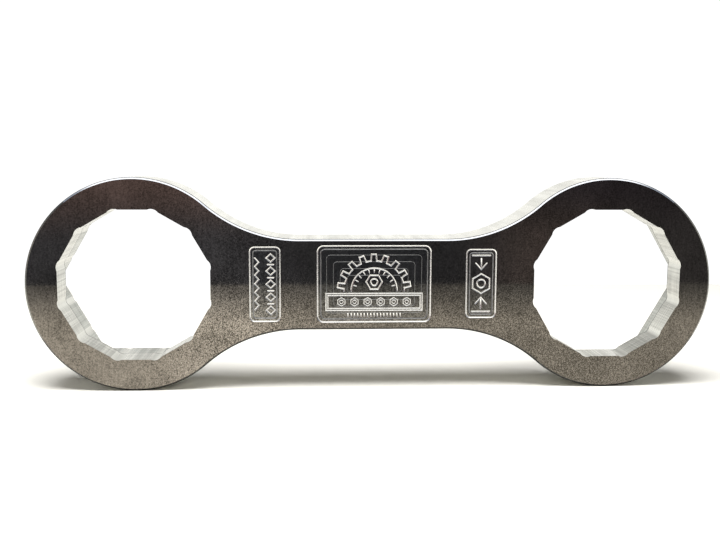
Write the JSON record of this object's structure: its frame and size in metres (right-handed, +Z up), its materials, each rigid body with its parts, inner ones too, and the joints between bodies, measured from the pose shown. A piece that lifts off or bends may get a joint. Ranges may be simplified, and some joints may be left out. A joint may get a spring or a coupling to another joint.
{
  "type": "double-ended box wrench",
  "caption": "Double-ended box wrench cut from flat aluminium bar, with a 12-flat socket at the front and a hexagonal recess at the back of each ring.",
  "frame": {"origin": "midway between the two rings, in the middle of the thickness, on the surface that the rings stand on", "axes": "+X along the handle towards the ring with the wider recess, -Y out of the engraved front face, +Z up with the wrench standing on its two rings"},
  "size_m": [0.1884, 0.0158, 0.0584],
  "materials": {
    "machined_aluminium": "as machined, satin faces with a fine random grain, bright milled socket walls, chamfers and engraved lines"
  },
  "bodies": {
    "root": {"wrench_body": "machined_aluminium"}
  },
  "joints": []
}
